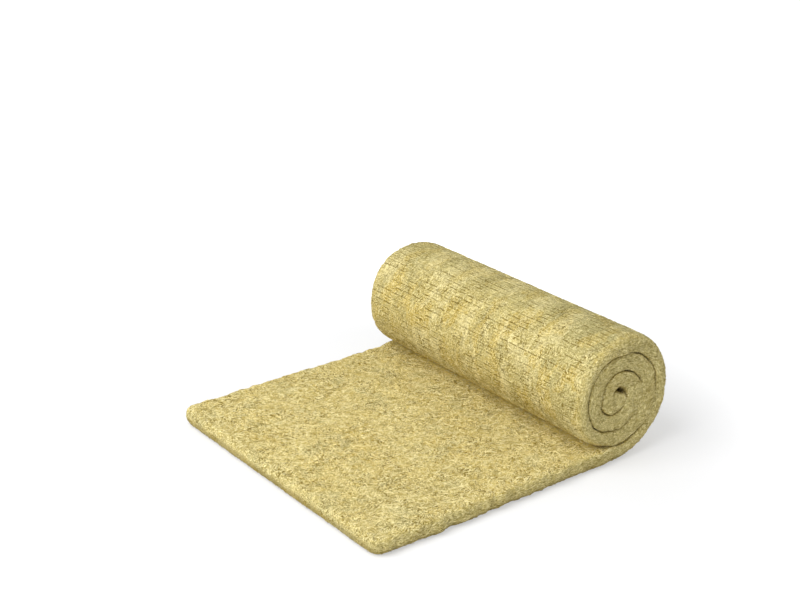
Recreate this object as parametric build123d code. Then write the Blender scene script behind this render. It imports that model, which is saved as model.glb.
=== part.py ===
from build123d import *

import os

# A stone-wool mat, part of it laid out flat and the rest still wound on itself in a roll.
# The origin is on the floor below the middle of the whole. +X runs along the mat to the roll,
# +Y runs along the roll's axis and +Z is up. The roll's end that faces -Y shows the turns
# wound counter-clockwise.

# Sizes, in millimetres.
mat_width = 1000.0  # along the roll's axis
mat_thickness = 52.0  # a 50 mm mat, a little lofted once it is unpacked
flat_length = 873.0  # on the floor, from the free end to where the mat lifts off
turn_gap = 2.0  # the seam between two turns
quarter_turns = 12  # how far the mat is wound, before its tucked end
fold_radius = 4.0  # inside of the last and tightest bend
seam_depth = 8.0  # how far in from an end the turns stand apart
lip_bevel = 3.0  # the seam's edges on the roll's ends
edge_round = 20.0  # the soft long edges, the free end and the roll's rims
corner_round = 40.0  # the free end's two corners, seen from above
nip_round = 6.0  # where the roll's underside meets the flat run
rim_blend = 30.0  # the same place, where the rounded rims run from one into the other

# A turn lies one pitch inside the turn before it, and a quarter turn takes a quarter of that
# off the radius.
turn_pitch = mat_thickness + turn_gap
centre_step = turn_pitch / 4
first_radius = mat_thickness + fold_radius + (quarter_turns - 1) * centre_step

# The lift-off line is where the mat leaves the floor. The mat's free end is at -X and the
# roll's side at +X, as far out on each side.
lift_off = (flat_length - first_radius) / 2
free_end = lift_off - flat_length
soft_round = min(edge_round, 0.42 * mat_thickness)
plan_round = max(corner_round, 1.2 * soft_round)


def arc_centre(quarter):
    """Four centres take turns, one for each quarter, round the corners of a small square."""
    right = quarter % 4 in (1, 2)
    high = quarter % 4 in (2, 3)
    return (lift_off + centre_step * right, first_radius + centre_step * high)


def outer_radius(quarter):
    """Each quarter is tighter than the one before by the distance between their centres."""
    return first_radius - centre_step * quarter


def quarter_arc(quarter, radius):
    """The first quarter starts on the floor, and each goes on where the last one stopped."""
    return CenterArc(arc_centre(quarter), radius, 90 * quarter - 90, 90)


def mat_section():
    """The wound mat's cut face, seen along the roll's axis. Past the last quarter the tucked
    end has no room for its full thickness, so it is squeezed against the bore."""
    wound = range(quarter_turns)
    tucked = range(quarter_turns, quarter_turns + 2)
    outer = [quarter_arc(k, outer_radius(k)) for k in (*wound, *tucked)]
    inner = [quarter_arc(k, outer_radius(k) - mat_thickness) for k in wound]
    underside = Line((free_end, 0), outer[0] @ 0)
    topside = Line((free_end, mat_thickness), inner[0] @ 0)
    cut_end = Line(underside @ 0, topside @ 0)
    tuck = Line(outer[-1] @ 1, inner[-1] @ 1)
    return make_face([underside, *outer, tuck, *inner, topside, cut_end])


def bore():
    """What the tucked end leaves open at the middle of the roll."""
    around = [quarter_turns - 2, quarter_turns - 1]
    walls = [quarter_arc(k, outer_radius(k) - mat_thickness) for k in around]
    tip = quarter_arc(quarter_turns + 1, outer_radius(quarter_turns + 1)) @ 1
    return make_face([*walls, Line(walls[-1] @ 1, tip), Line(tip, walls[0] @ 0)])


def side_outline(nip):
    """The whole outline from the side. An arc of the given radius fills the nip under the roll:
    it touches the flat run's top and the fourth quarter."""
    fourth = 3
    middle = Vector(*arc_centre(fourth))
    rise = middle.Y - mat_thickness - nip
    reach = ((outer_radius(fourth) + nip) ** 2 - rise**2) ** 0.5
    nip_centre = Vector(middle.X - reach, mat_thickness + nip)
    touch = middle + (nip_centre - middle).normalized() * outer_radius(fourth)
    quarters = [quarter_arc(k, outer_radius(k)) for k in range(fourth)]
    down_to_nip = RadiusArc(quarters[-1] @ 1, touch, -outer_radius(fourth))
    nip_arc = RadiusArc(touch, (nip_centre.X, mat_thickness), nip)
    underside = Line((free_end, 0), quarters[0] @ 0)
    topside = Line(nip_arc @ 1, (free_end, mat_thickness))
    cut_end = Line(topside @ 1, underside @ 0)
    return make_face([underside, *quarters, down_to_nip, nip_arc, topside, cut_end])


def across(face, width):
    """Stands a section up along the roll's axis, with its middle on the origin's plane."""
    return extrude(Plane.XZ * face, amount=width / 2, both=True)


def turns():
    """The mat at its full width, with a bevel along the seam on both of the roll's ends. It runs
    on from the arcs to the straight edges that they touch."""
    mat = across(mat_section(), mat_width)
    ends = mat.edges().group_by(Axis.Y)
    seam = (ends[0] + ends[-1]).filter_by(GeomType.CIRCLE)
    return chamfer(seam, lip_bevel)


def pressed_turns():
    """Behind its ends the roll is wound so tight that its turns make one body, with a bore."""
    return across(side_outline(nip_round) - bore(), mat_width - 2 * seam_depth)


def soft_envelope():
    """The side outline at its full width, with the free end's corners and then every rim
    rounded off. The rims are one line, which goes on from the free end all the way round."""
    block = across(side_outline(rim_blend), mat_width)
    upright = block.edges().filter_by(Axis.Z).group_by(Axis.X)[0]
    block = fillet(upright, plan_round)
    free_edges = block.edges().filter_by(Axis.Y).group_by(Axis.X)[0]
    return fillet(free_edges, soft_round)


wool_mat = (turns() + pressed_turns()) & soft_envelope()
wool_mat.label = "wool_mat"

os.makedirs("parts", exist_ok=True)
export_step(wool_mat, "parts/wool_mat.step")
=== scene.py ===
import math

import bpy
import numpy as np
from bpy.props import FloatProperty, FloatVectorProperty, IntProperty, PointerProperty
from mathutils import Euler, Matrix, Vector


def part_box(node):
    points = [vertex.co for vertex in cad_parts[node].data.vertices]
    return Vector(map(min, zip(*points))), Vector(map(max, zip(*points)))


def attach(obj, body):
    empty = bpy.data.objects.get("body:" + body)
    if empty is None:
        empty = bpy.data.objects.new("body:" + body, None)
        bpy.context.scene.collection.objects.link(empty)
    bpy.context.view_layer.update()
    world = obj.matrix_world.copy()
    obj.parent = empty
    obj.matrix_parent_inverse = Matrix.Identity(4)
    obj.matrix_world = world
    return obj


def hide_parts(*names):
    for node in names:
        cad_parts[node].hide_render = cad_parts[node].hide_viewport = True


bl_info = {
    "name": "Insulation roll",
    "version": (1, 0, 0),
    "blender": (4, 5, 0),
    "location": "3D View > Sidebar > Insulation roll",
    "description": "A partly unrolled stone-wool mat with loose fibres, in a white studio",
    "category": "Object",
}

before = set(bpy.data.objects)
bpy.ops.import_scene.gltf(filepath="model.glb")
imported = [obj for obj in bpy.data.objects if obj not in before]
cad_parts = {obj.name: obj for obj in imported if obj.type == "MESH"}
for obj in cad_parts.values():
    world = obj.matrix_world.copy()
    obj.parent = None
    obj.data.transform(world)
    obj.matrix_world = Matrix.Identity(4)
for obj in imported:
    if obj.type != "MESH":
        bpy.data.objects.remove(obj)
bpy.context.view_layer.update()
mat_low, mat_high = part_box("wool_mat")

QUARTER = math.pi / 2


def length_setting(name, description, default):
    return FloatProperty(
        name=name, description=description, default=default, subtype="DISTANCE", unit="LENGTH"
    )


def angle_setting(name, description, degrees):
    return FloatProperty(
        name=name, description=description, default=math.radians(degrees), subtype="ANGLE"
    )


def place_setting(name, description, default):
    return FloatVectorProperty(
        name=name, description=description, default=default, subtype="XYZ", unit="LENGTH"
    )


def colour_setting(name, description, default):
    return FloatVectorProperty(
        name=name, description=description, default=default, subtype="COLOR", size=3, min=0, max=1
    )


def number_setting(name, description, default):
    kind = IntProperty if isinstance(default, int) else FloatProperty
    return kind(name=name, description=description, default=default)


class MatShape(bpy.types.PropertyGroup):
    """The mat's own sizes. Its overall sizes come from the solid that it stands for."""

    thickness: length_setting("Thickness", "Mat thickness", 0.052)
    seam_gap: length_setting("Seam gap", "Space between two turns", 0.002)
    quarter_turns: number_setting("Quarter turns", "How far it is wound, before its tuck", 12)
    tuck: number_setting("Tuck", "Quarter turns that its squeezed end goes on", 1.08)
    edge_round: length_setting("Edge rounding", "The flat run's upper edges", 0.017)
    floor_round: length_setting("Floor edge rounding", "The edges that lie on the floor", 0.025)
    rim_round: length_setting("Rim rounding", "The roll's outer rims", 0.031)
    lip_round: length_setting("Lip rounding", "The edges of the seam on the roll's ends", 0.0045)
    lip_close: length_setting("Closing", "How much of the gap closes in a pressed seam", 0.0018)
    corner_round: length_setting("Corner rounding", "The free end's corners from above", 0.040)
    point_spacing: length_setting("Point spacing", "Distance between points that show", 0.006)
    hidden_columns: number_setting("Hidden columns", "Fine columns in one that is hidden", 8)


class MatRelief(bpy.types.PropertyGroup):
    """How far the soft surface strays from the even shape."""

    swell: length_setting("Swell", "Height of the broad swells", 0.0045)
    swell_size: length_setting("Swell size", "Distance between broad swells", 0.16)
    lump: length_setting("Lump", "Height of the lumps", 0.0030)
    lump_size: length_setting("Lump size", "Distance between lumps", 0.035)
    tuft: length_setting("Tuft", "Height of the tufts", 0.0022)
    tuft_size: length_setting("Tuft size", "Distance between tufts", 0.013)
    scallop: length_setting("Scallop", "How far the long edges wander in and out", 0.045)
    scallop_size: length_setting("Scallop size", "Distance between the edges' bulges", 0.080)
    stagger: length_setting("Stagger", "How unevenly the turns lie at the roll's ends", 0.012)
    wobble: length_setting("Wobble", "How far the seams wander from an even spiral", 0.012)
    middle_shift: length_setting("Middle shift", "How far the middle leans to the flat run", 0.015)


class WoolColours(bpy.types.PropertyGroup):
    """The wool's colours, from the binder's ochre to bare grey-green fibre."""

    straw: colour_setting("Straw", "Main colour", (0.60, 0.483, 0.157))
    # Ochre is also laid as painted warm shade beside the roll and on its side that faces the flat
    # run.
    ochre: colour_setting("Ochre", "Patches rich in binder, and painted warm shade", (0.54, 0.39, 0.075))
    # Olive is also laid as painted shade: on the roll's top, back and near end, and toward the
    # flat run's free end and near edge.
    olive: colour_setting("Olive", "Patches poor in binder, and painted shade", (0.40, 0.352, 0.138))
    cream: colour_setting("Cream", "Fibres that catch the light", (0.92, 0.815, 0.425))
    # Painted light: this lighter, warmer wool colour is laid where the roll shades the mat, in
    # place of the light bounced between them.
    painted_under_roll_light: colour_setting("Painted under-roll light", "Light painted into the shade under the roll", (0.94, 0.75, 0.21))
    # Umber is the fibres' dark tone, and also painted shade in pits, creases, seams and at the
    # roll's foot.
    umber: colour_setting("Umber", "Dark fibres, and painted shade in pits, creases and seams", (0.19, 0.123, 0.003))


class FibreSettings(bpy.types.PropertyGroup):
    """The strands of fibre that lie on the mat's open faces."""

    face_count: number_setting("Face strands", "Strands in each piece on the broad faces", 9300)
    edge_count: number_setting("Edge strands", "Strands on the edges and ends", 9300)
    length: length_setting("Length", "Usual strand length on the broad faces", 0.018)
    radius: length_setting("Radius", "Usual strand radius on the flat run", 0.00085)
    roll_radius: length_setting("Roll radius", "Usual strand radius on the roll", 0.00068)
    fine_length: length_setting("Fine length", "Usual length of the fine strands", 0.026)
    fine_radius: length_setting("Fine radius", "Usual radius of the fine strands", 0.0006)
    edge_length: length_setting("Edge length", "Usual strand length on the edges", 0.012)
    edge_radius: length_setting("Edge radius", "Usual strand radius on the edges", 0.00075)
    loft: length_setting("Loft", "How far a strand's loose end may stand off", 0.003)
    seed: number_setting("Seed", "Changes where the strands fall", 7)


class Studio(bpy.types.PropertyGroup):
    """Camera, lights and floor."""

    camera_place: place_setting("Camera", "Where the camera stands", (-2.536, -3.204, 2.1165))
    camera_pitch: angle_setting("Pitch", "How far the camera looks down", 22.386)
    camera_yaw: angle_setting("Yaw", "How far the camera turns from +Y toward +X", 37.508)
    lens: number_setting("Lens", "Focal length in millimetres for a 36 mm sensor", 68.05)
    sky: number_setting("Sky", "Strength of the even light from all round", 0.66)
    key_power: number_setting("Key light", "Power in watts", 236.0)
    key_place: place_setting("Key light's place", "Where the key light hangs", (-3.0, -0.3, 3.9))
    key_size: length_setting("Key light's size", "How wide the key light is", 4.2)
    floor: colour_setting("Floor", "The floor's colour as it lights the mat", (0.86, 0.865, 0.87))
    floor_seen: colour_setting("Floor seen", "Its colour in the picture", (0.42, 0.423, 0.43))


def maths(operation, reflected=False):
    """A method that adds a Math node. If it is reflected, the other operand comes first."""
    return lambda value, other: value.math(operation, other, reflected=reflected)


class Value:
    """A number socket in a node tree. Arithmetic on it adds Math nodes."""

    __add__ = __radd__ = maths("ADD")
    __sub__ = maths("SUBTRACT")
    __rsub__ = maths("SUBTRACT", reflected=True)
    __mul__ = __rmul__ = maths("MULTIPLY")
    __truediv__ = maths("DIVIDE")
    __pow__ = maths("POWER")
    __mod__ = maths("FLOORED_MODULO")
    __gt__ = maths("GREATER_THAN")
    __lt__ = maths("LESS_THAN")
    larger = maths("MAXIMUM")
    smaller = maths("MINIMUM")

    def __init__(self, graph, socket):
        self.graph = graph
        self.socket = socket

    def math(self, operation, *others, reflected=False):
        operands = (*others, self) if reflected else (self, *others)
        inputs = dict(enumerate(operands))
        return self.graph.value("ShaderNodeMath", {"operation": operation}, inputs)

    def __neg__(self):
        return self.math("MULTIPLY", -1.0)

    def __abs__(self):
        return self.math("ABSOLUTE")

    def toward(self, other, part):
        """This number where part is 0, the other where it is 1, and evenly between them."""
        return self + (other - self) * part

    def smooth(self, start, end):
        """0 at start, 1 at end, and an even curve between them."""
        return self.graph.value(
            "ShaderNodeMapRange",
            {"interpolation_type": "SMOOTHSTEP"},
            {"Value": self, "From Min": start, "From Max": end},
        )


class Graph:
    """A node tree that is built in code."""

    def __init__(self, tree):
        self.tree = tree

    def make(self, kind, settings=None, inputs=None):
        """Adds a node. Its settings come first, because they change which sockets it has."""
        node = self.tree.nodes.new(kind)
        for name, value in (settings or {}).items():
            setattr(node, name, value)
        for key, value in (inputs or {}).items():
            self.plug(node.inputs[key], value)
        return node

    def plug(self, socket, value):
        """Links a socket to a value or another socket, or sets it to a constant."""
        source = value.socket if isinstance(value, Value) else value
        if isinstance(source, bpy.types.NodeSocket):
            self.tree.links.new(source, socket)
        else:
            socket.default_value = source

    def value(self, kind, settings=None, inputs=None, output=0):
        """Adds a node and gives one of its outputs as a number."""
        return Value(self, self.make(kind, settings, inputs).outputs[output])

    def split(self, vector):
        """The three numbers of a vector."""
        node = self.make("ShaderNodeSeparateXYZ", inputs={0: vector})
        return [Value(self, socket) for socket in node.outputs]

    def vector(self, x, y, z):
        """A vector from three numbers."""
        return self.make("ShaderNodeCombineXYZ", inputs={0: x, 1: y, 2: z}).outputs[0]

    def vector_math(self, operation, first, second):
        inputs = {0: first, 1: second}
        return self.make("ShaderNodeVectorMath", {"operation": operation}, inputs).outputs[0]

    def add(self, first, second):
        return self.vector_math("ADD", first, second)

    def scale(self, vector, factor):
        inputs = {0: vector, "Scale": factor}
        return self.make("ShaderNodeVectorMath", {"operation": "SCALE"}, inputs).outputs[0]

    def mix(self, first, second, factor):
        """A colour between two colours."""
        node = self.make("ShaderNodeMix", {"data_type": "RGBA"}, {0: factor})
        for key, colour in ((6, first), (7, second)):
            is_socket = isinstance(colour, bpy.types.NodeSocket)
            self.plug(node.inputs[key], colour if is_socket else (*colour, 1.0))
        return node.outputs[2]

    def noise(self, place, size, detail, roughness):
        """A noise node whose clouds are about as far apart as size."""
        return self.make(
            "ShaderNodeTexNoise",
            {"noise_dimensions": "3D"},
            {"Vector": place, "Scale": 1.0 / size, "Detail": detail, "Roughness": roughness},
        )

    def cloud(self, place, size, detail=2.0, roughness=0.5, shift=None):
        """Noise as a number around 0.5. A shift gives other clouds of the same kind."""
        place = self.add(place, shift) if shift else place
        return Value(self, self.noise(place, size, detail, roughness).outputs["Fac"])

    def ripple(self, place, size, detail=2.0, roughness=0.5):
        """Noise as a number around 0."""
        return self.cloud(place, size, detail, roughness) - 0.5

    def drift(self, place, size, detail):
        """Noise as a vector around 0."""
        colour = self.noise(place, size, detail, 0.5).outputs["Color"]
        return self.vector_math("SUBTRACT", colour, (0.5, 0.5, 0.5))

    def position(self):
        """Each point's place, in a Geometry Nodes tree."""
        return self.make("GeometryNodeInputPosition").outputs[0]

    def normal(self):
        """The way that each point faces, in a Geometry Nodes tree."""
        return self.make("GeometryNodeInputNormal").outputs[0]

    def move(self, geometry, **where):
        """Puts a geometry's points at a Position, or moves them by an Offset."""
        inputs = {"Geometry": geometry, **where}
        return self.make("GeometryNodeSetPosition", inputs=inputs).outputs[0]

    def store(self, geometry, kind, domain, name, value):
        """A geometry with a value kept on it under a name."""
        return self.make(
            "GeometryNodeStoreNamedAttribute",
            {"data_type": kind, "domain": domain},
            {"Geometry": geometry, "Name": name, "Value": value},
        ).outputs[0]

    def stored(self, kind, name):
        """What is kept on a geometry under a name."""
        node = self.make("GeometryNodeInputNamedAttribute", {"data_type": kind}, {"Name": name})
        return node.outputs[0]

    def stored_number(self, name):
        return Value(self, self.stored("FLOAT", name))


# Distances along the mat are in metres from its free end. It lifts off the floor at 0.87. Its
# outer face is the roll's right side at 1.19, its top at 1.49 and its left side, over the flat
# run, at 1.77. At 2.03 it is at the bottom again, inside the first turn. Those are 0, 1, 2, 3
# and 4 quarter turns, and past this many the outer face is hidden.
OUTSIDE_TURNS = 4.2


class Winding:
    """Where the mat lies: first flat on the floor and then round a spiral of quarter circles."""

    def __init__(self, shape):
        self.width = mat_high[1] - mat_low[1]
        self.thickness = shape.thickness
        self.step = (shape.thickness + shape.seam_gap) / 4
        self.quarter_turns = shape.quarter_turns
        self.first_radius = (mat_high[2] - mat_low[2] + self.step) / 2
        self.lift_off = mat_high[0] - self.first_radius
        self.flat_length = self.lift_off - mat_low[0]
        wound_length = QUARTER * self.radii_to(shape.quarter_turns + shape.tuck)
        self.length = self.flat_length + wound_length

    def radii_to(self, turned):
        """The sum of all quarters' radii up to here. Part of a quarter counts in part."""
        quarter = np.floor(turned)
        before = quarter * self.first_radius - self.step * quarter * (quarter - 1) / 2
        return before + (turned - quarter) * (self.first_radius - self.step * quarter)

    def turned(self, along):
        """Quarter turns made at a distance along the mat from its free end."""
        wound = np.maximum(along - self.flat_length, 0) / QUARTER
        lead = self.first_radius + self.step / 2
        root = np.sqrt(lead**2 - 2 * self.step * wound)
        quarter = np.floor((lead - root) / self.step + 1e-6)
        radius = self.first_radius - self.step * quarter
        return quarter + (wound - self.radii_to(quarter)) / radius

    def fold(self):
        """Where the tucked end begins, the mat's inner face in the last bend: (x, z)."""
        quarter = self.quarter_turns
        radius = self.first_radius - self.step * quarter - self.thickness
        angle = QUARTER * (quarter - 1)
        x = self.lift_off + self.step * (quarter % 4 in (1, 2)) + radius * math.cos(angle)
        z = self.first_radius + self.step * (quarter % 4 in (2, 3)) + radius * math.sin(angle)
        return x, z


def smooth(value, start, end):
    """0 at start, 1 at end, and an even curve between them."""
    part = np.clip((value - start) / (end - start), 0, 1)
    return part * part * (3 - 2 * part)


def put_in_scene(thing):
    bpy.context.scene.collection.objects.link(thing)
    return thing


# The mat's mesh is first made lying flat: X is the distance along the mat from its free end, Y
# goes across it, and Z is the depth from the face that lies on the floor and that becomes the
# roll's outside. A strip of points runs round each long edge, and columns of points cover the
# two faces between them.
EDGE_MARGIN = 0.036  # how far in from a long edge its strip reaches
FREE_END_ROWS = 8  # rows of points round the free end's lower edge
STRIP_PARTS = (2, 6, 7, 5, 2)  # spaces across a strip: outer face, bend, side, bend, inner face
CORNER_REACH = 0.2  # how far in from a long edge the points give way to a rounded corner

# How far the seam gapes on the roll's ends: quarter turns along the mat's inner face, and 0
# where it is pressed shut, 1 where it is open and more where it stands wide open.
SEAM_OPENING = (
    (0.0, 1.2), (0.3, 1.0), (0.42, 1.9), (0.55, 0.3), (0.95, 0.2), (1.2, 0.9), (1.5, 1.5),
    (2.0, 1.4), (2.3, 1.3), (2.65, 0.3), (2.85, 1.2), (3.1, 0.7), (3.4, 1.4), (4.0, 1.2),
    (4.3, 1.4), (4.5, 0.2), (5.15, 0.0), (5.3, 1.7), (5.6, 1.3), (6.0, 1.4), (6.3, 0.3),
    (6.6, 0.0), (7.2, 0.0), (7.3, 1.9), (8.0, 1.2), (8.45, 0.8), (8.6, 0.0), (8.85, 0.3),
    (9.05, 2.2), (9.3, 3.2), (9.75, 2.6), (10.0, 1.0), (10.3, 0.4), (11.0, 0.3),
)
FAR_END_LAG = 1.7  # quarter turns between an opening on the far end and its like on the near one
CLOSED_LIP = 0.0003  # the rounding of a lip where the seam is pressed shut


def seam_opening(turned, lag):
    """The seam's opening. The far end of the roll opens at other places than the near one."""
    places, widths = zip(*SEAM_OPENING)
    return np.interp((turned + lag) % places[-1], places, widths)


def strip_profile(out_round, in_round, half, thickness, lip_depth):
    """One long edge in section, from the outer face round to the inner face, for each row. It
    gives the places across and in depth, and how far each point faces sideways."""
    flat_out, arc_out, side, arc_in, flat_in = (np.arange(n) / n for n in STRIP_PARTS)
    inner = half - EDGE_MARGIN
    zero = np.zeros_like(out_round)
    bend_out = arc_out * QUARTER
    bend_in = arc_in * QUARTER
    last = np.append(flat_in, 1.0)
    across = np.concatenate([
        inner + (half - out_round - inner) * flat_out,
        half - out_round + out_round * np.sin(bend_out),
        half + zero * side,
        half - in_round + in_round * np.cos(bend_in),
        half - in_round + (inner - half + in_round) * last,
    ], axis=1)
    depth = np.concatenate([
        zero * flat_out,
        out_round * (1 - np.cos(bend_out)),
        out_round + (lip_depth - in_round - out_round) * side,
        lip_depth - in_round + in_round * np.sin(bend_in),
        lip_depth + (thickness - lip_depth) * last,
    ], axis=1)
    sideways = np.concatenate([
        zero * flat_out,
        zero + np.sin(bend_out),
        zero + 1 + 0 * side,
        zero + np.cos(bend_in),
        zero * last,
    ], axis=1)
    return across, depth, sideways


def edge_strip(shape, winding, along, lag):
    """One long edge for each row. It is well rounded on the flat run and on the roll's outer
    rim, and has small lips where the seam runs beside it."""
    turned = winding.turned(along)
    from_nip = along - winding.flat_length
    opening = seam_opening(turned, lag)
    opening_outside = seam_opening(np.maximum(turned - 4, 0), lag)
    lip_in = CLOSED_LIP + (shape.lip_round - CLOSED_LIP) * opening
    lip_out = CLOSED_LIP + (shape.lip_round - CLOSED_LIP) * opening_outside
    rim_more = shape.rim_round - shape.floor_round
    out_round = shape.floor_round + rim_more * smooth(from_nip, -0.08, 0.08)
    out_round += (lip_out - out_round) * smooth(turned, 3.75, 4.15)
    in_round = shape.edge_round + (lip_in - shape.edge_round) * smooth(from_nip, -0.13, -0.03)
    pressed = shape.lip_close * (1 - np.minimum(opening, 1.5)) * smooth(from_nip, 0, 0.05)
    lip_depth = winding.thickness + pressed[:, None]
    half, thickness = winding.width / 2, winding.thickness
    return strip_profile(out_round[:, None], in_round[:, None], half, thickness, lip_depth)


def face_columns(index, fine, stride, upward):
    """Faces between neighbouring rows. Where a fine row meets a coarse one, one face takes up
    all the points of the fine row that lie along it."""
    rows = index.tolist()
    faces = []
    for i in range(len(rows) - 1):
        step = 1 if fine[i] and fine[i + 1] else stride
        for k in range(0, len(rows[0]) - 1, step):
            here = [v for v in rows[i][k:k + step + 1] if v >= 0]
            there = [v for v in rows[i + 1][k:k + step + 1] if v >= 0]
            faces.append(there + here[::-1] if upward else here + there[::-1])
    return faces


def strip_faces(index, outward):
    """Faces along one long edge."""
    a = index[:-1, :-1]
    b = index[1:, :-1]
    c = index[1:, 1:]
    d = index[:-1, 1:]
    corners = (a, d, c, b) if outward else (a, b, c, d)
    return np.stack(corners, axis=-1).reshape(-1, 4).tolist()


def cap_faces(outer, inner, right, left, stride, forward):
    """Closes one end of the mat: a face for each column, and one for each long edge."""
    faces = []
    for k in range(0, len(outer) - 1, stride):
        below = [int(v) for v in outer[k:k + stride + 1] if v >= 0]
        above = [int(v) for v in inner[k:k + stride + 1] if v >= 0]
        faces.append(below + above[::-1] if forward else above + below[::-1])
    for strip, faces_plus_y in ((right, True), (left, False)):
        ring = [int(v) for v in strip]
        faces.append(ring if forward == faces_plus_y else ring[::-1])
    return faces


def round_free_end(shape, winding, along, across, depth):
    """The points' places, with the free end rounded off from above and from the side."""
    def arc(radius):
        into = np.clip(radius - along, 0, radius)
        return np.sqrt(radius**2 - into**2)

    half = winding.width / 2
    inset = shape.corner_round - arc(shape.corner_round)
    shifted = inset * smooth(np.abs(across), half - CORNER_REACH, half - EDGE_MARGIN)
    lowest = shape.floor_round - arc(shape.floor_round)
    highest = winding.thickness - shape.edge_round + arc(shape.edge_round)
    return np.stack([
        along,
        across - np.sign(across) * shifted,
        lowest + (highest - lowest) * depth / winding.thickness,
    ], axis=1)


def point_masks(winding, along, across, depth, side):
    """What the points carry for the relief, the strands and the colours, each from 0 to 1:
    where the mat is open to the air, cut off, pressed by the winder's belt, beside an open
    seam, low at the roll's foot or deep under the roll, and where each kind of strand lies."""
    half, thickness = winding.width / 2, winding.thickness
    turned = winding.turned(along)
    from_nip = along - winding.flat_length
    on_outer = smooth(depth, thickness * 0.5, thickness * 0.2)
    on_inner = 1 - on_outer
    open_inner = smooth(from_nip, 0.0, -0.03) * on_inner
    open_outer = smooth(turned, 4.1, 3.9) * smooth(turned, 0.0, 0.3) * on_outer
    free_end = smooth(along, 0.016, 0.002)
    open_edge = np.maximum(smooth(side, 0.2, 0.8), free_end)
    cut = smooth(side, 0.25, 0.95)
    edge = np.maximum(cut, free_end)
    facing = np.where(on_outer > 0.5, np.maximum(turned - 4, 0), turned)
    gape = np.minimum(seam_opening(facing, np.where(across > 0, FAR_END_LAG, 0.0)), 1)
    beside_seam = np.maximum(
        on_inner * smooth(from_nip, 0.0, 0.05), on_outer * smooth(turned, 4.0, 4.2)
    )
    under_roll = np.maximum(
        on_inner * smooth(from_nip, -0.095, -0.060) * smooth(from_nip, 0.05, 0.01),
        on_outer * smooth(turned, 3.38, 3.58) * smooth(turned, 4.1, 3.95) * 0.6,
    )
    return {
        "bare": np.maximum(open_inner + open_outer, open_edge),
        "cut": cut,
        "imprint": on_outer * smooth(side, 0.9, 0.2),
        # The seam mask marks where painted shade goes in the open seams on the roll's ends.
        "seam": gape * smooth(side, 0.9, 0.3) * beside_seam,
        # Painted shade: the foot mask darkens the lowest part of the mat next to the floor, as
        # contact shade.
        "foot": smooth(depth, 0.022, 0.013) * smooth(from_nip, 0.12, 0.0),
        # The nip mask marks where painted light goes: the shaded wool just before the roll and the
        # roll's lower side that faces it.
        "nip": smooth(np.abs(across), half, half - 0.06) * under_roll,
        "lay_top": open_inner * (1 - edge),
        "lay_roll": open_outer * (1 - edge),
        "lay_edge": edge,
    }


def flat_mat(shape, winding):
    """The mat's mesh before it is wound, as a new object."""
    half = winding.width / 2
    start = shape.floor_round * (1 - np.cos(np.linspace(0, QUARTER, FREE_END_ROWS + 1)))
    rows = round((winding.length - shape.floor_round) / shape.point_spacing)
    along = np.append(start, np.linspace(shape.floor_round, winding.length, rows + 1)[1:])
    turned = winding.turned(along)
    from_nip = along - winding.flat_length
    right_across, right_depth, sideways = edge_strip(shape, winding, along, FAR_END_LAG)
    left_across, left_depth, _ = edge_strip(shape, winding, along, 0.0)

    stride = shape.hidden_columns
    columns = stride * round((winding.width - 2 * EDGE_MARGIN) / shape.point_spacing / stride)
    column_across = np.linspace(EDGE_MARGIN - half, half - EDGE_MARGIN, columns + 1)
    outer_fine = (along < 1.5 * shape.corner_round) | ((turned > 0) & (turned < OUTSIDE_TURNS))
    outer_fine |= np.abs(from_nip) < shape.point_spacing
    inner_fine = from_nip < 0

    strip_size = right_across.shape[1]
    right = np.arange(len(along) * strip_size).reshape(len(along), strip_size)
    left = right + right.size
    used = 2 * right.size
    sheets = []
    for fine, depth, strip_column in ((outer_fine, 0.0, 0), (inner_fine, winding.thickness, -1)):
        present = fine[:, None] | (np.arange(columns + 1) % stride == 0)
        present[:, 0] = False
        present[:, -1] = False
        index = np.full(present.shape, -1)
        index[present] = used + np.arange(present.sum())
        index[:, 0] = left[:, strip_column]
        index[:, -1] = right[:, strip_column]
        used += int(present.sum())
        sheets.append((index, present, depth))

    row_of = [np.repeat(np.arange(len(along)), strip_size)] * 2
    across_of = [right_across.ravel(), -left_across.ravel()]
    depth_of = [right_depth.ravel(), left_depth.ravel()]
    side_of = [sideways.ravel()] * 2
    for index, present, depth in sheets:
        row, column = np.nonzero(present)
        row_of.append(row)
        across_of.append(column_across[column])
        depth_of.append(np.full(len(row), depth))
        side_of.append(np.zeros(len(row)))
    along_of = along[np.concatenate(row_of)]
    across_of, depth_of, side_of = map(np.concatenate, (across_of, depth_of, side_of))
    place = round_free_end(shape, winding, along_of, across_of, depth_of)

    outer_index, inner_index = sheets[0][0], sheets[1][0]
    free_cap, tuck_cap = (
        cap_faces(outer_index[i], inner_index[i], right[i], left[i], step, forward)
        for i, step, forward in ((0, 1, False), (-1, stride, True))
    )
    groups = {
        "right": strip_faces(right, True),
        "left": strip_faces(left, False),
        "outer": face_columns(outer_index, outer_fine, stride, False),
        "inner": face_columns(inner_index, inner_fine, stride, True),
        "caps": free_cap + tuck_cap,
    }
    mesh = bpy.data.meshes.new("wool_mat_flat")
    mesh.from_pydata(place, [], [face for faces in groups.values() for face in faces])
    masks = point_masks(winding, along_of, across_of, depth_of, side_of)
    for name, values in masks.items():
        attribute = mesh.attributes.new(name, "FLOAT", "POINT")
        attribute.data.foreach_set("value", values.astype(np.float32))
    lay_out_bake_map(mesh, winding, groups, place, strip_size)
    mesh.validate()
    return put_in_scene(bpy.data.objects.new("wool_mat_flat", mesh))


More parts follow.
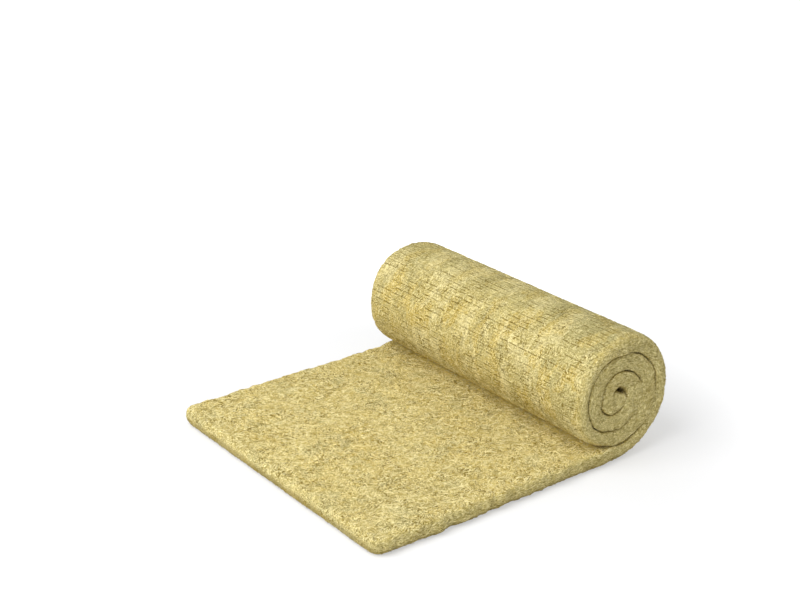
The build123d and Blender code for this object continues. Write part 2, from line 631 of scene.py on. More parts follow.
# Where each stretch of the mat's surface goes in the map that its colours are baked to: left,
# bottom, right and top. The faces that show most take the most room.
BAKE_PLACES = {
    "top": (0.0, 0.0, 0.47, 0.44),
    "outside": (0.0, 0.45, 0.47, 1.0),
    "edge_flat_right": (0.480, 0.0, 0.560, 0.74),
    "edge_flat_left": (0.568, 0.0, 0.648, 0.74),
    "edge_rim_right": (0.656, 0.0, 0.736, 0.74),
    "edge_rim_left": (0.744, 0.0, 0.824, 0.74),
    "edge_turns_right": (0.832, 0.0, 0.912, 0.74),
    "edge_turns_left": (0.920, 0.0, 1.0, 0.74),
    "underside": (0.48, 0.75, 0.80, 1.0),
    "pressed_inner": (0.81, 0.75, 0.90, 1.0),
    "pressed_outer": (0.91, 0.75, 1.0, 1.0),
}


def lay_out_bake_map(mesh, winding, groups, place, strip_size):
    """Gives the mesh a map to bake its colours to, with each stretch in its own rectangle."""
    loops = np.empty(len(mesh.loops), dtype=np.int64)
    mesh.loops.foreach_get("vertex_index", loops)
    corner_count = np.empty(len(mesh.polygons), dtype=np.int64)
    mesh.polygons.foreach_get("loop_total", corner_count)
    face_of = np.repeat(np.arange(len(mesh.polygons)), corner_count)
    group_of_face = np.repeat(list(groups), [len(faces) for faces in groups.values()])
    group_of = group_of_face[face_of]
    turned = winding.turned(place[:, 0])
    first_loop = np.append(0, np.cumsum(corner_count)[:-1])
    middle = (np.add.reduceat(turned[loops], first_loop) / corner_count)[face_of]

    outside_end = np.max(place[turned < OUTSIDE_TURNS, 0])
    flat = (0.0, winding.flat_length)
    outside = (winding.flat_length, outside_end)
    inside = (outside_end, winding.length)
    wound = (winding.flat_length, winding.length)
    along = place[loops, 0]
    across = (place[loops, 1] + winding.width / 2) / winding.width
    around = (loops % strip_size) / (strip_size - 1)
    uv = np.zeros((len(loops), 2))

    def put(where, rectangle, span, sideways):
        left, bottom, right, top = BAKE_PLACES[rectangle]
        part = np.clip((along[where] - span[0]) / (span[1] - span[0]), 0, 1)
        uv[where, 0] = left + (right - left) * sideways[where]
        uv[where, 1] = bottom + (top - bottom) * part

    is_flat = middle <= 0
    is_outside = (middle > 0) & (middle < OUTSIDE_TURNS)
    is_inside = ~is_flat & ~is_outside
    for side in ("right", "left"):
        strip = group_of == side
        put(strip & is_flat, f"edge_flat_{side}", flat, around)
        put(strip & is_outside, f"edge_rim_{side}", outside, around)
        put(strip & is_inside, f"edge_turns_{side}", inside, around)
    outer = group_of == "outer"
    inner = (group_of == "inner") | (group_of == "caps")
    put(outer & is_flat, "underside", flat, across)
    put(outer & is_outside, "outside", outside, across)
    put(outer & is_inside, "pressed_outer", inside, across)
    put(inner & is_flat, "top", flat, across)
    put(inner & ~is_flat, "pressed_inner", wound, across)
    layer = mesh.uv_layers.new(name="OFBake")
    layer.data.foreach_set("uv", uv.astype(np.float32).ravel())


SOCKET_KINDS = {float: "NodeSocketFloat", int: "NodeSocketInt", str: "NodeSocketString"}


def group_tree(name, sockets):
    """A Geometry Nodes tree with a geometry, a material and other named inputs. It gives the
    graph, the geometry and the other inputs by name."""
    tree = bpy.data.node_groups.new(name, "GeometryNodeTree")
    add_socket = tree.interface.new_socket
    add_socket("Geometry", in_out="INPUT", socket_type="NodeSocketGeometry")
    add_socket("Material", in_out="INPUT", socket_type="NodeSocketMaterial")
    for label, default in sockets.items():
        socket = add_socket(label, in_out="INPUT", socket_type=SOCKET_KINDS[type(default)])
        socket.default_value = default
    add_socket("Geometry", in_out="OUTPUT", socket_type="NodeSocketGeometry")
    graph = Graph(tree)
    source = graph.make("NodeGroupInput")
    inputs = {label: Value(graph, source.outputs[label]) for label in ("Material", *sockets)}
    return graph, source.outputs["Geometry"], inputs


def finish_tree(graph, geometry, material):
    """Makes the result plain mesh with its material."""
    whole = graph.make("GeometryNodeRealizeInstances", inputs={"Geometry": geometry}).outputs[0]
    inputs = {"Geometry": whole, "Material": material}
    painted = graph.make("GeometryNodeSetMaterial", inputs=inputs).outputs[0]
    graph.make("NodeGroupOutput", inputs={"Geometry": painted})
    return graph.tree


def apply_tree(source, name, tree, inputs):
    """Runs a tree on an object, and gives the result as a new object with a plain mesh."""
    modifier = source.modifiers.new(tree.name, "NODES")
    modifier.node_group = tree
    for item in tree.interface.items_tree:
        if item.in_out == "INPUT" and item.name in inputs:
            modifier[item.identifier] = inputs[item.name]
    depsgraph = bpy.context.evaluated_depsgraph_get()
    ready = source.evaluated_get(depsgraph)
    mesh = bpy.data.meshes.new_from_object(
        ready, preserve_all_data_layers=True, depsgraph=depsgraph
    )
    mesh.name = name
    source.modifiers.remove(modifier)
    return put_in_scene(bpy.data.objects.new(name, mesh))


# How the wound mat strays from its even spiral, in metres.
LEAN_REACH = 0.144  # how far to each side of the roll's middle the turns lean with it
CORE_REACH = 0.06  # how far round the bore the innermost turns are drawn aside
CORE_DRAW = 0.010  # how far they are drawn aside
WOBBLE_SIZE = 0.045  # distance between the seams' bends
NIP_SWELL = 0.0025  # how far the flat run swells where it meets the roll
CROWN = 0.0035  # how far the turns bulge at the roll's ends
SETBACK = 0.003  # how far the turns stand back there


def winding_tree(winding, relief):
    """Winds the flat mesh up, round four centres that take turns, and then makes it soft."""
    fold_x, fold_z = winding.fold()
    sizes = {
        "Thickness": winding.thickness,
        "Centre step": winding.step,
        "First radius": winding.first_radius,
        "Flat length": winding.flat_length,
        "Lift-off": winding.lift_off,
        "Half width": winding.width / 2,
        "Quarter turns": float(winding.quarter_turns),
        "Fold X": float(fold_x),
        "Fold Z": float(fold_z),
        "Swell": relief.swell,
        "Lump": relief.lump,
        "Tuft": relief.tuft,
        "Scallop": relief.scallop,
        "Stagger": relief.stagger,
        "Middle shift": relief.middle_shift,
        "Wobble": relief.wobble,
    }
    graph, mesh, size = group_tree("Wind the mat", sizes)
    place = graph.position()
    kept = graph.store(mesh, "FLOAT_VECTOR", "POINT", "place", place)
    along, across, depth = graph.split(place)
    step, first, thickness = size["Centre step"], size["First radius"], size["Thickness"]

    # How far round the spiral each point has got.
    past = along - size["Flat length"]
    wound = past.larger(0.0) / QUARTER
    lead = first + step / 2
    root = (lead * lead - step * wound * 2).math("SQRT")
    quarter = ((lead - root) / step + 1e-4).math("FLOOR")
    radius = first - step * quarter
    part = (wound - quarter * first + step * quarter * (quarter - 1) / 2) / radius
    turned = quarter + part
    angle = (turned - 1) * QUARTER
    cosine, sine = angle.math("COSINE"), angle.math("SINE")
    phase = quarter % 4.0
    centre_x = size["Lift-off"] + step * (phase > 0.5) * (phase < 2.5)
    centre_z = first + step * (phase > 1.5)

    # The tucked end has no room for its full thickness, so it fans round the fold.
    tucked = (turned - size["Quarter turns"]).larger(0.0)
    is_tucked = tucked > 0.0
    deep = depth / thickness
    reach = radius - depth
    climb = tucked.smaller(1.3)
    turn_in = tucked.smooth(1.3, 1.8)
    pinch_x = size["Fold X"] - climb * 0.0015 + turn_in * 0.005
    pinch_z = size["Fold Z"] + climb * 0.0102 - turn_in * 0.0015
    fan_x = (centre_x + radius * cosine) * (1 - deep) + pinch_x * deep
    fan_z = (centre_z + radius * sine) * (1 - deep) + pinch_z * deep
    x = (centre_x + reach * cosine) * (1 - is_tucked) + fan_x * is_tucked + past.smaller(0.0)
    z = (centre_z + reach * sine) * (1 - is_tucked) + fan_z * is_tucked

    # The roll's middle leans to the flat run, and its seams wander.
    aside = (x - size["Lift-off"] + 0.02) / LEAN_REACH
    inside = (deep * turned.smooth(0.0, 0.7)).larger(turned.smooth(3.6, 4.3))
    x = x - size["Middle shift"] * (1 - aside * aside).larger(0.0) * inside
    core_x = x - size["Lift-off"]
    core_z = z - size["First radius"] - 0.03
    from_core = (core_x ** 2.0 + core_z ** 2.0).math("SQRT")
    near_core = from_core.smooth(CORE_REACH, 0.0) * turned.smooth(5.0, 7.0)
    wobble_x = graph.ripple(graph.vector(x, 0.0, z), WOBBLE_SIZE, 1.0)
    wobble_z = graph.ripple(graph.vector(x, 5.0, z), WOBBLE_SIZE, 1.0)
    x = x - near_core * CORE_DRAW + wobble_x * size["Wobble"] * inside
    z = z + near_core * CORE_DRAW + wobble_z * size["Wobble"] * inside
    z = z + past.smooth(-0.10, -0.03) * past.smooth(0.02, -0.02) * deep * NIP_SWELL

    # The long edges wander in and out, and at the roll's ends the turns lie unevenly.
    half = size["Half width"]
    near_edge = abs(across).smooth(half - 0.10, half - 0.01)
    side = across.math("SIGN")
    in_roll = turned.smooth(0.0, 0.5)
    edge_place = graph.vector(along, side * 3.0, depth * 0.6)
    bulge = abs(graph.ripple(edge_place, relief.scallop_size, 1.0)) - 0.08
    scallop = bulge * size["Scallop"] * (1 - past.smooth(-0.14, -0.03) * 0.8)
    slow_place = graph.vector(along, side * 7.0, 0.0)
    stagger = graph.ripple(slow_place, 0.22, 1.0) * size["Stagger"]
    crown = (1 - (deep * 2 - 1) ** 2.0) * CROWN
    y = across + side * near_edge * (scallop + stagger * in_roll + (crown - SETBACK) * in_roll)
    moved = graph.move(kept, Position=graph.vector(x, y, z))
    run = graph.store(moved, "FLOAT_VECTOR", "POINT", "run", graph.vector(-sine, 0.0, cosine))

    # The soft relief, which doesn't sink below the floor.
    here = graph.position()
    normal = graph.normal()
    bare = graph.stored_number("bare")
    imprint = graph.stored_number("imprint")
    height = graph.ripple(here, relief.swell_size, 1.0) * size["Swell"] * (1 - imprint * 0.4)
    height = height + graph.ripple(here, relief.lump_size) * size["Lump"]
    height = height + graph.ripple(here, relief.tuft_size, 2.0, 0.7) * size["Tuft"]
    height = height * (0.3 + 0.7 * bare) * (1 - imprint * 0.45)
    lifted = graph.move(run, Offset=graph.scale(normal, height * 2))
    x, y, z = graph.split(graph.position())
    grounded = graph.move(lifted, Position=graph.vector(x, y, z.larger(0.0)))
    return finish_tree(graph, grounded, size["Material"])


# The strands of one piece stand in a square of cells in the map that their colours are baked to.
BAKE_CELLS = 100
CELL_MARGIN = 0.15  # left free on each side of a cell, as a part of it
CELL_FILL = 0.7


def strand_tree(fibres):
    """Lays strands of fibre on a face. Each is a thin, closed, bent spindle that follows the
    face, with its ends in the wool."""
    sockets = {
        "Mask": "lay_top",
        "Density": 1000.0,
        "Seed": fibres.seed,
        "Length": fibres.length,
        "Radius": fibres.radius,
        "Loft": fibres.loft,
        "Swirl": 14.0,
        "Spread": 0.9,
        "Bend": 0.008,
    }
    graph, mesh, size = group_tree("Lay strands", sockets)

    def nearest(value, place):
        """A value of the mat's mesh at the point nearest to a place."""
        return graph.make(
            "GeometryNodeSampleNearestSurface",
            {"data_type": "FLOAT_VECTOR"},
            {"Mesh": mesh, "Value": value, "Sample Position": place},
        ).outputs[0]

    def chance(low, high, seed):
        """A random number for each point or strand."""
        inputs = {2: low, 3: high, 8: seed}
        return graph.value("FunctionNodeRandomValue", {"data_type": "FLOAT"}, inputs, output=1)

    # Straight lines are scattered over the face, and each is turned its own way.
    density = size["Density"] * graph.stored_number(size["Mask"])
    scatter = graph.make(
        "GeometryNodeDistributePointsOnFaces",
        inputs={"Mesh": mesh, "Density": density, "Seed": size["Seed"]},
    )
    points, normal = scatter.outputs[0], scatter.outputs[1]
    run = graph.stored("FLOAT_VECTOR", "run")
    aside = graph.vector_math("CROSS_PRODUCT", normal, run)
    swirl = graph.ripple(graph.stored("FLOAT_VECTOR", "place"), 0.09, 1.0) * size["Swirl"]
    heading = swirl + chance(-1.0, 1.0, 1) * size["Spread"]
    ahead = graph.scale(run, heading.math("COSINE"))
    beside = graph.scale(aside, heading.math("SINE"))
    turn = graph.make(
        "FunctionNodeAxesToRotation",
        {"primary_axis": "X", "secondary_axis": "Z"},
        {"Primary Axis": graph.add(ahead, beside), "Secondary Axis": normal},
    ).outputs[0]
    line = graph.make(
        "GeometryNodeCurvePrimitiveLine", inputs={"Start": (-0.5, 0, 0), "End": (0.5, 0, 0)}
    ).outputs[0]
    line = graph.make(
        "GeometryNodeResampleCurve", {"mode": "COUNT"}, {"Curve": line, "Count": 4}
    ).outputs[0]
    stretch = graph.vector(size["Length"] * chance(0.5, 1.4, 2), 1.0, 1.0)
    laid = graph.make(
        "GeometryNodeInstanceOnPoints",
        inputs={"Points": points, "Instance": line, "Rotation": turn, "Scale": stretch},
    ).outputs[0]
    lines = graph.make("GeometryNodeRealizeInstances", inputs={"Geometry": laid}).outputs[0]
    lines = graph.store(lines, "FLOAT", "CURVE", "tone", chance(0.0, 1.0, 3))
    lines = graph.store(lines, "FLOAT", "CURVE", "cell", graph.value("GeometryNodeInputIndex"))
    part = graph.value("GeometryNodeSplineParameter")
    lines = graph.store(lines, "FLOAT", "POINT", "part", part)

    # They are bent and laid down on the face, with both ends dipped into it.
    tone = graph.stored_number("tone")
    here = graph.position()
    own_place = graph.add(here, graph.vector(tone * 31.0, tone * 17.0, 0.0))
    bent = graph.add(here, graph.scale(graph.drift(own_place, 0.014, 0.0), size["Bend"]))
    arch = part * (1 - part) * 4
    loose = (tone * 37.0) % 1.0
    lift = size["Radius"] * (arch * 1.1 - 0.5) + size["Loft"] * loose ** 4.0 * part
    surface = nearest(graph.position(), bent)
    resting = graph.add(surface, graph.scale(nearest(graph.normal(), bent), lift))
    mat_place = nearest(graph.stored("FLOAT_VECTOR", "place"), bent)
    lines = graph.store(lines, "FLOAT_VECTOR", "POINT", "place", mat_place)
    x, y, z = graph.split(resting)
    lines = graph.move(lines, Position=graph.vector(x, y, z.larger(size["Radius"] * 1.4)))

    # They get a three-cornered section that tapers to both ends, and a cell in the map.
    ring = graph.make(
        "GeometryNodeCurvePrimitiveCircle", inputs={"Resolution": 3, "Radius": 1.0}
    ).outputs[0]
    corner = graph.value("GeometryNodeInputIndex")
    ring = graph.store(ring, "FLOAT", "POINT", "around", corner / 3)
    girth = size["Radius"] * (0.3 + arch * 0.7) * (0.6 + 0.8 * ((tone * 11.0) % 1.0))
    strands = graph.make(
        "GeometryNodeCurveToMesh",
        inputs={"Curve": lines, "Profile Curve": ring, "Scale": girth, "Fill Caps": True},
    ).outputs[0]
    cell = graph.stored_number("cell")
    column = cell % float(BAKE_CELLS)
    row = (cell / BAKE_CELLS).math("FLOOR")
    u = (column + CELL_MARGIN + graph.stored_number("part") * CELL_FILL) / BAKE_CELLS
    v = (row + CELL_MARGIN + graph.stored_number("around") * CELL_FILL) / BAKE_CELLS
    mapped = graph.store(strands, "FLOAT2", "CORNER", "OFBake", graph.vector(u, v, 0.0))
    soft = graph.make("GeometryNodeSetShadeSmooth", inputs={"Geometry": mapped}).outputs[0]
    return finish_tree(graph, soft, size["Material"])


def streaks(graph, place, angle, length, width, offset):
    """Fibre-like streaks that lie at an angle in the mat's face. A number around 0.5."""
    lie = {
        "Location": (offset, -offset, offset),
        "Rotation": (0, 0, angle),
        "Scale": (length, width, width),
    }
    turned = graph.make(
        "ShaderNodeMapping", {"vector_type": "TEXTURE"}, {"Vector": place, **lie}
    ).outputs[0]
    return graph.cloud(turned, 1.0, 1.5, 0.6)


CREASE_ROWS = 0.0192  # from one row of creases to the next
CREASE_PITCH = 0.042  # from one crease to the next in its row


def pressed_dashes(graph, place):
    """The rows of short creases that the winder's belt leaves in the outer face, from 0 to 1.
    Fainter rows lie half way between the others."""
    along, across, _ = graph.split(place)
    sway = graph.ripple(place, 0.05, 2.0, 0.6) * 0.007
    dashes = 0
    for shift, strength in ((0.0, 1.0), (0.5, 0.35)):
        row_place = (along + sway) / CREASE_ROWS + shift
        row = row_place.math("FLOOR")
        from_row = abs(row_place - row - 0.5) * CREASE_ROWS
        slip = graph.ripple(graph.vector(row, 0.0, shift), 1.3, 0.0) * 0.8
        column_place = across / CREASE_PITCH + slip
        column = column_place.math("FLOOR")
        part = column_place - column
        luck = graph.value(
            "ShaderNodeTexWhiteNoise",
            {"noise_dimensions": "3D"},
            {"Vector": graph.vector(row, column, shift)},
        )
        dash = from_row.smooth(0.0023, 0.0007) * part.smooth(0.02, 0.14) * part.smooth(0.97, 0.84)
        dashes = dash * luck.smooth(-0.2, 0.8) * strength + dashes
    patch = graph.cloud(place, 0.13, 2.0, 0.6)
    return (dashes * (0.4 + patch.smooth(0.38, 0.55) * 0.6)).smaller(1.0)


def shaded_roll_top(graph, place):
    """The roll's top and back, where painted shade makes its outer face duller, greener and more
    even, from 0 to 1.
    """
    along, _, _ = graph.split(place)
    return along.smooth(1.66, 1.50) * (1 - along.smooth(1.46, 1.15) * 0.67)


def matted(graph, place):
    """Where the fibres lie tangled, from 0 to 1, and dark marks show more."""
    return graph.cloud(place, 0.06, 3.0, 0.6, shift=(1.0, 9.0, 5.0)).smooth(0.42, 0.60)


def mask_of(graph, name):
    """One of the masks that the mat's mesh carries."""
    return graph.value("ShaderNodeAttribute", {"attribute_name": name}, output="Fac")


class WoolCoats:
    """A colour made of the wool's own colours, one laid over the other."""

    def __init__(self, graph, colours, first):
        self.graph = graph
        self.colours = colours
        self.colour = tuple(getattr(colours, first))

    def add(self, name, amount):
        """Lays a colour over what is there. It is left out at 0 and covers it at 1."""
        self.colour = self.graph.mix(self.colour, tuple(getattr(self.colours, name)), amount)


def wool_ground(graph, place, cut, imprint, colours):
    """The wool's colour without its single fibres: broad clouds of ochre and olive, and on the
    outer face pale patches. Olive and ochre are also laid as painted shade on the flat run's front
    and near edge, on the roll's top, back and near end, and beside the nip, and a lighter warm
    colour as painted light under the roll."""
    along, across, _ = graph.split(place)
    # Painted shade on the roll's top and back: more olive there, and fewer pale patches and
    # stains.
    grey = shaded_roll_top(graph, place)
    coats = WoolCoats(graph, colours, "straw")
    coats.add("ochre", graph.cloud(place, 0.20, 3.0, 0.55).smooth(0.45, 0.72) * 0.5)
    patch = graph.cloud(place, 0.080, 3.0, 0.6)
    coats.add("olive", patch.smooth(0.52, 0.66) * (0.7 - cut * 0.4))
    coats.add("ochre", graph.cloud(place, 0.012, 2.0, 0.6).smooth(0.50, 0.62) * 0.4)
    fleck = graph.cloud(place, 0.016, 2.0, 0.6, shift=(3.0, 1.0, 4.0))
    coats.add("cream", fleck.smooth(0.52, 0.64) * (0.3 - cut * 0.2))
    # Painted shade: warm ochre on the flat run just before the roll and on the roll's side that
    # faces it.
    near_roll = (1 - imprint) * (1 - cut) * along.smooth(0.68, 0.78) * 0.3
    coats.add("ochre", near_roll + imprint * along.smooth(1.72, 1.82) * 0.75)
    # Painted shade: olive toward the free end and along the near long edge of the flat run.
    near_side = along.smooth(0.5, 0.1) * across.smooth(0.0, -0.4)
    front = along.smooth(0.09, 0.01).larger(near_side) * 0.27
    # The outer face's own olive, with more as painted shade on the roll's top and back and toward
    # its near end.
    outside = imprint * (0.29 + grey * 0.45 + across.smooth(0.0, -0.45) * 0.35)
    coats.add("olive", (cut * 0.55).larger(front).larger(outside))
    drawn = graph.vector_math("MULTIPLY", place, (0.6, 1.0, 1.0))
    stain = graph.cloud(drawn, 0.075, 3.0, 0.6, shift=(2.0, 7.0, 3.0))
    coats.add("ochre", stain.smooth(0.49, 0.58) * imprint * (0.75 - grey * 0.4))
    pale = graph.cloud(drawn, 0.08, 4.0, 0.7, shift=(5.0, 2.0, 1.0))
    coats.add("cream", pale.smooth(0.50, 0.60) * imprint * (0.45 - grey * 0.15))
    # Painted light: a lighter, warmer colour brightens the shaded wool under the roll and in the
    # nip.
    coats.add("painted_under_roll_light", mask_of(graph, "nip") * (1 - cut))
    return coats


def crease_and_foot_shade(graph, place, imprint):
    """Painted shade, from 0 to 1: how dark the pressed creases are in their grooves, and the
    contact shade low at the roll's foot.
    """
    dashes = pressed_dashes(graph, place) * imprint
    # The foot mask adds painted contact shade low at the roll's foot.
    return (dashes * 0.75).larger(mask_of(graph, "foot") * 0.45)


def empty_material(name):
    """A new material, its empty graph, and the mat's own place and masks."""
    material = bpy.data.materials.new(name)
    material.use_nodes = True
    graph = Graph(material.node_tree)
    graph.tree.nodes.clear()
    place = graph.make("ShaderNodeAttribute", {"attribute_name": "place"}).outputs["Vector"]
    return material, graph, place, mask_of(graph, "cut"), mask_of(graph, "imprint")


def finish_material(graph, colour, height, bump_strength):
    """Ends a wool material: dull fibre with its relief."""
    bump = graph.make(
        "ShaderNodeBump", inputs={"Strength": bump_strength, "Distance": 0.005, "Height": height}
    ).outputs[0]
    dull = {"Roughness": 0.85, "Specular IOR Level": 0.2}
    surface = graph.make(
        "ShaderNodeBsdfPrincipled", inputs={"Base Color": colour, "Normal": bump, **dull}
    ).outputs[0]
    graph.make("ShaderNodeOutputMaterial", inputs={"Surface": surface})


def wool_material(colours):
    """Matted mineral fibre: short bright and dark streaks that swirl over patches of colour.
    The outside shows rows of creases, and on the cut edges the streaks run along the mat."""
    material, graph, place, cut, imprint = empty_material("wool")
    swirl = graph.scale(graph.drift(place, 0.045, 1.0), (1 - cut * 0.85) * 0.045)
    bent = graph.add(place, swirl)
    long_way = streaks(graph, bent, 0.15, 0.012, 0.0024, 0.0)
    cross_way = streaks(graph, bent, 1.75, 0.011, 0.0024, 3.0)
    slant_way = streaks(graph, bent, 0.9, 0.010, 0.0024, 6.0)
    cross_way = cross_way.toward(streaks(graph, place, 0.05, 0.016, 0.0022, 9.0), cut)
    slant_way = slant_way.toward(streaks(graph, place, -0.1, 0.012, 0.0022, 12.0), cut)
    bright = long_way.larger(cross_way).smooth(0.56, 0.63)
    bright_more = slant_way.smooth(0.57, 0.64)
    dark = long_way.smaller(slant_way).smooth(0.41, 0.36)

    drawn = graph.vector_math("MULTIPLY", place, (0.35, 1.0, 1.0))
    grain = graph.cloud(place, 0.0046, 2.0, 0.7)
    grain = grain.toward(graph.cloud(drawn, 0.0042, 2.0, 0.7), cut)
    clump = graph.cloud(place, 0.011, 2.0, 0.6)
    hollow = graph.cloud(place, 0.060, 2.0, 0.6, shift=(8.0, 2.0, 6.0)).smooth(0.55, 0.66)
    pits = hollow * clump.smooth(0.50, 0.40) * grain.smooth(0.56, 0.44)
    # Painted shade: umber in the pits and pressed creases.
    creases = crease_and_foot_shade(graph, place, imprint).larger(pits * (1 - cut) * 0.85)
    # Painted shade on the roll's top and back: fewer highlights and dark marks there.
    grey = shaded_roll_top(graph, place) * imprint
    rough = (0.5 + matted(graph, place) * 0.8) * (1 - imprint * 0.2) * (1 - cut * 0.5)
    # Part of the painted light in the nip: fewer dark marks there.
    rough = rough * (1 - grey * 0.5) * (1 - mask_of(graph, "nip") * 0.7)

    coats = wool_ground(graph, place, cut, imprint, colours)
    coats.add("cream", bright * (0.9 - imprint * 0.35 - cut * 0.25 - grey * 0.2))
    coats.add("cream", bright_more * (0.7 - imprint * 0.3 - cut * 0.2 - grey * 0.15))
    coats.add("umber", dark * rough * 0.95)
    coats.add("umber", grain.smooth(0.41, 0.33) * rough * 0.85)
    coats.add("cream", grain.smooth(0.58, 0.68) * 0.6)
    coats.add("umber", creases)
    # Painted shade: darker wool in the open seams on the roll's ends.
    coats.add("umber", mask_of(graph, "seam") * 0.2)
    height = long_way * 0.4 + cross_way * 0.4 + slant_way * 0.4
    height = height + grain * 0.6 + clump * 0.25 - dark * 0.4 - creases
    finish_material(graph, coats.colour, height, 0.8)
    return material


def strand_material(colours):
    """Single strands of the same wool, some pale and some dark."""
    material, graph, place, cut, imprint = empty_material("strands")
    tone = mask_of(graph, "tone")
    # Quieter strands where cut, and as painted shade on the roll's top and back.
    quiet = 1 - cut * 0.3 - shaded_roll_top(graph, place) * imprint * 0.3
    # Part of the painted light in the nip: fewer dark strands there.
    tangled = (0.35 + matted(graph, place) * 0.65) * (1 - mask_of(graph, "nip") * 0.7)
    coats = wool_ground(graph, place, cut, imprint, colours)
    coats.add("cream", tone.smooth(0.40, 0.75) * quiet)
    coats.add("umber", tone.smooth(0.24, 0.12) * tangled * quiet * 0.9)
    # Painted shade: the strands darken in the creases and at the roll's foot too.
    coats.add("umber", crease_and_foot_shade(graph, place, imprint))
    finish_material(graph, coats.colour, graph.cloud(place, 0.003, 1.0), 0.2)
    return material


class SCENE_OT_wind_mat(bpy.types.Operator):
    """Make the wool mat, partly laid out and partly wound in a roll"""

    bl_idname = "scene.wind_wool_mat"
    bl_label = "Wind the mat"

    def execute(self, context):
        shape = context.scene.mat_shape
        winding = Winding(shape)
        flat = flat_mat(shape, winding)
        wool = wool_material(context.scene.wool_colours)
        tree = winding_tree(winding, context.scene.mat_relief)
        mat = apply_tree(flat, "mat", tree, {"Material": wool})
        bpy.data.objects.remove(flat)
        mat.data.polygons.foreach_set("use_smooth", [True] * len(mat.data.polygons))
        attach(mat, "root")
        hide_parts("wool_mat")
        return {"FINISHED"}


def masked_area(mesh, mask):
    """The area of a mesh where a mask is 1, in square metres."""
    def read(data, key, kind):
        values = np.empty(len(data), dtype=kind)
        data.foreach_get(key, values)
        return values

    values = read(mesh.attributes[mask].data, "value", np.float32)
    loops = read(mesh.loops, "vertex_index", np.int64)
    starts = read(mesh.polygons, "loop_start", np.int64)
    areas = read(mesh.polygons, "area", np.float32)
    counts = np.diff(np.append(starts, len(loops)))
    return float(np.sum(areas * np.add.reduceat(values[loops], starts) / counts))


class SCENE_OT_lay_strands(bpy.types.Operator):
    """Lay strands of fibre on the mat's open faces"""

    bl_idname = "scene.lay_wool_strands"
    bl_label = "Lay the strands"

    def execute(self, context):
        fibres = context.scene.fibres
        mat = bpy.data.objects["mat"]
        strand = strand_material(context.scene.wool_colours)
        tree = strand_tree(fibres)
        fine = {"Length": fibres.fine_length, "Radius": fibres.fine_radius, "Spread": 1.6}
        roll = {"Loft": 0.0, "Radius": fibres.roll_radius}
        edge = {"Length": fibres.edge_length, "Radius": fibres.edge_radius}
        edge.update({"Swirl": 1.5, "Spread": 0.5})
        kinds = (
            ("strands_top", "lay_top", fibres.face_count, {}),
            ("strands_fine", "lay_top", fibres.face_count, fine),
            ("strands_roll", "lay_roll", fibres.face_count, roll),
            ("strands_edge", "lay_edge", fibres.edge_count, edge),
        )
        for number, (name, mask, count, lie) in enumerate(kinds):
            density = count / masked_area(mat.data, mask)
            inputs = {"Material": strand, "Mask": mask, "Density": density, **lie}
            piece = apply_tree(mat, name, tree, {**inputs, "Seed": fibres.seed + number})
            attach(piece, "root")
        return {"FINISHED"}


def area_light(name, place, target, size, power):
    light = bpy.data.lights.new(name, "AREA")
    light.shape = "DISK"
    light.size = size
    light.energy = power
    lamp = put_in_scene(bpy.data.objects.new(name, light))
    lamp.location = place
    lamp.rotation_euler = (Vector(target) - Vector(place)).to_track_quat("-Z", "Y").to_euler()


FLOOR_REACH = 30.0  # half the floor's side
FLOOR_LEVEL = -0.0005  # just under the mat
LIT_SPOT = (0, 0, 0.1)  # what the key light points at


def studio_floor(studio):
    """A wide floor. In the picture it goes from a pale grey at the mat to white."""
    sides = ((-1, -1), (1, -1), (1, 1), (-1, 1))
    corners = [(x * FLOOR_REACH, y * FLOOR_REACH, FLOOR_LEVEL) for x, y in sides]
    mesh = bpy.data.meshes.new("floor")
    mesh.from_pydata(corners, [], [(0, 1, 2, 3)])
    material = bpy.data.materials.new("floor")
    material.use_nodes = True
    graph = Graph(material.node_tree)
    seen = graph.value("ShaderNodeLightPath", output="Is Camera Ray")
    spot = graph.make("ShaderNodeTexCoord").outputs["Object"]
    away = graph.value("ShaderNodeVectorMath", {"operation": "LENGTH"}, {0: spot}, "Value")
    surface = graph.tree.nodes["Principled BSDF"].inputs
    colour = graph.mix(tuple(studio.floor), tuple(studio.floor_seen), seen)
    graph.plug(surface["Base Color"], colour)
    graph.plug(surface["Roughness"], 0.9)
    graph.plug(surface["Emission Color"], (1, 1, 1, 1))
    graph.plug(surface["Emission Strength"], seen * (0.47 + away.smooth(0.75, 1.7) * 0.5))
    mesh.materials.append(material)
    return put_in_scene(bpy.data.objects.new("floor", mesh))


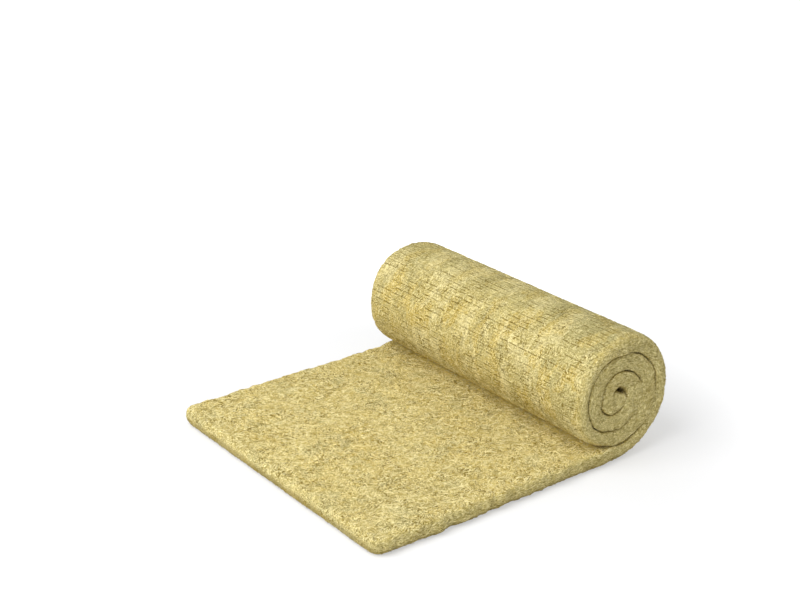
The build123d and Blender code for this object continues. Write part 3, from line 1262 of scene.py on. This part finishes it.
class SCENE_OT_set_studio(bpy.types.Operator):
    """Set up the white floor, the lights and the camera"""

    bl_idname = "scene.set_wool_studio"
    bl_label = "Set the studio"

    def execute(self, context):
        studio = context.scene.studio
        floor = studio_floor(studio)
        area_light("key", studio.key_place, LIT_SPOT, studio.key_size, studio.key_power)

        world = bpy.data.worlds.new("white")
        context.scene.world = world
        world.use_nodes = True
        sky = Graph(world.node_tree)
        background = world.node_tree.nodes["Background"].inputs
        sky.plug(background["Color"], (1, 1, 1, 1))
        seen = sky.value("ShaderNodeLightPath", output="Is Camera Ray")
        sky.plug(background["Strength"], seen * (1 - studio.sky) + studio.sky)

        lens = bpy.data.cameras.new("camera")
        lens.sensor_width = 36
        lens.lens = studio.lens
        lens.clip_end = 200
        camera = put_in_scene(bpy.data.objects.new("camera", lens))
        camera.location = studio.camera_place
        camera.rotation_euler = Euler((QUARTER - studio.camera_pitch, 0, -studio.camera_yaw))
        context.scene.camera = camera
        context.scene.view_settings.view_transform = "Standard"
        return {"FINISHED"}


class VIEW3D_PT_insulation_roll(bpy.types.Panel):
    """Makes the roll and its studio from the settings listed here"""

    bl_label = "Insulation roll"
    bl_space_type = "VIEW_3D"
    bl_region_type = "UI"
    bl_category = "Insulation roll"

    def draw(self, context):
        for name in SETTINGS:
            box = self.layout.box()
            group = getattr(context.scene, name)
            for key in group.bl_rna.properties.keys():
                if key not in ("rna_type", "name"):
                    box.prop(group, key)
        for operator in OPERATORS:
            self.layout.operator(operator.bl_idname)


SETTINGS = {
    "mat_shape": MatShape,
    "mat_relief": MatRelief,
    "wool_colours": WoolColours,
    "fibres": FibreSettings,
    "studio": Studio,
}
OPERATORS = (SCENE_OT_wind_mat, SCENE_OT_lay_strands, SCENE_OT_set_studio)


def register():
    for name, group in SETTINGS.items():
        bpy.utils.register_class(group)
        setattr(bpy.types.Scene, name, PointerProperty(type=group))
    for operator in OPERATORS:
        bpy.utils.register_class(operator)
    bpy.utils.register_class(VIEW3D_PT_insulation_roll)


def unregister():
    bpy.utils.unregister_class(VIEW3D_PT_insulation_roll)
    for operator in reversed(OPERATORS):
        bpy.utils.unregister_class(operator)
    for name, group in reversed(SETTINGS.items()):
        delattr(bpy.types.Scene, name)
        bpy.utils.unregister_class(group)


def main():
    register()
    bpy.ops.scene.wind_wool_mat()
    bpy.ops.scene.lay_wool_strands()
    bpy.ops.scene.set_wool_studio()


if __name__ == "__main__":
    main()
